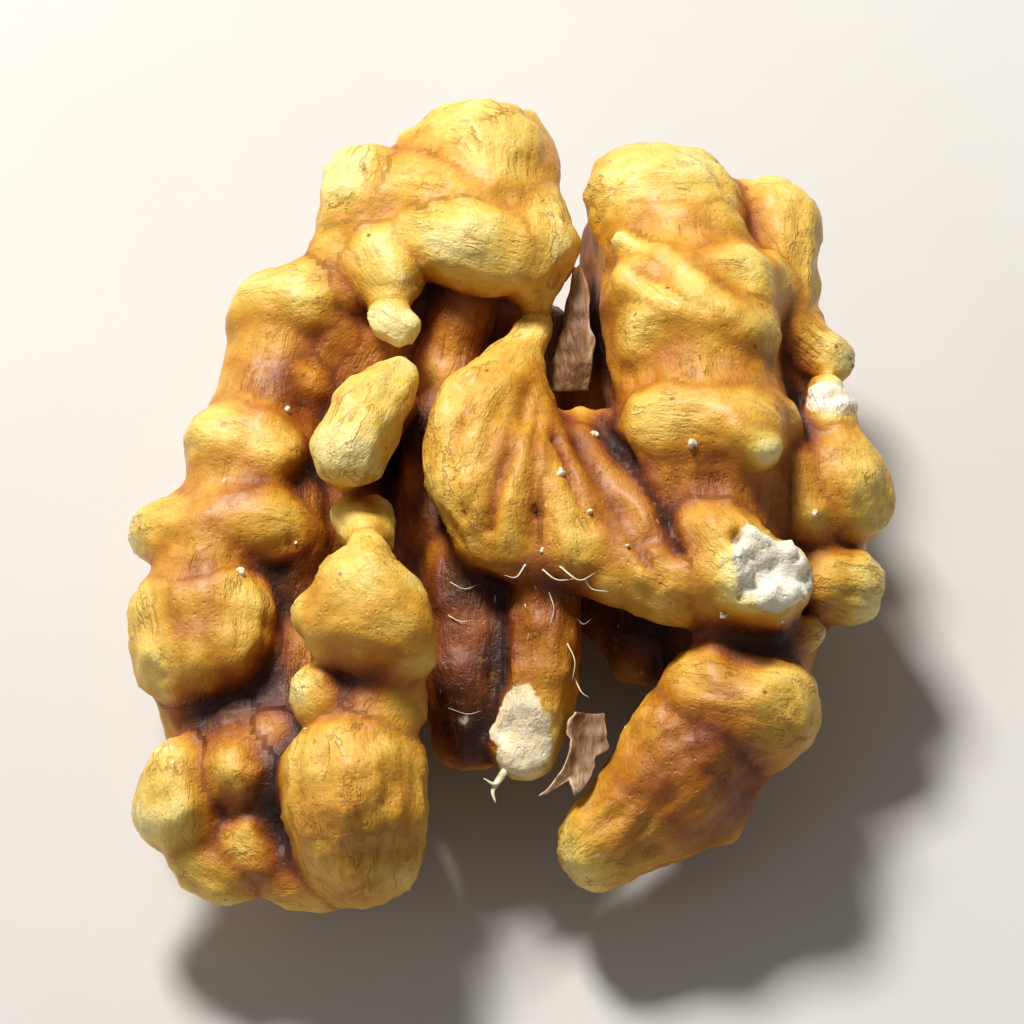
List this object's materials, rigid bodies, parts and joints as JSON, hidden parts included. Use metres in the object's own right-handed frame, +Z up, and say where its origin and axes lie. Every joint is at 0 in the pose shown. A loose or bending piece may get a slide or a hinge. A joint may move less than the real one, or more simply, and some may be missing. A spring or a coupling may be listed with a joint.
{
  "type": "walnut kernel half",
  "caption": "Shelled walnut kernel half: wrinkled lobes either side of a deep cleft, joined by a bridge, with a snapped stub and torn papery partition in the cleft.",
  "frame": {"origin": "centre of the kernel's box in plan, on the surface it lies on", "axes": "+Z up out of the open face, +Y along the kernel towards the tip of the nut, +X towards the right lobe seen from above with the tip at the top"},
  "size_m": [0.0322, 0.037, 0.014],
  "materials": {
    "kernel_skin": "golden tan seed skin with brown creases, a little oily",
    "septum_paper": "dull grey brown papery plant sheet"
  },
  "bodies": {
    "root": {"kernel": "kernel_skin", "septum_tip": "septum_paper", "septum_foot": "septum_paper"}
  },
  "joints": []
}
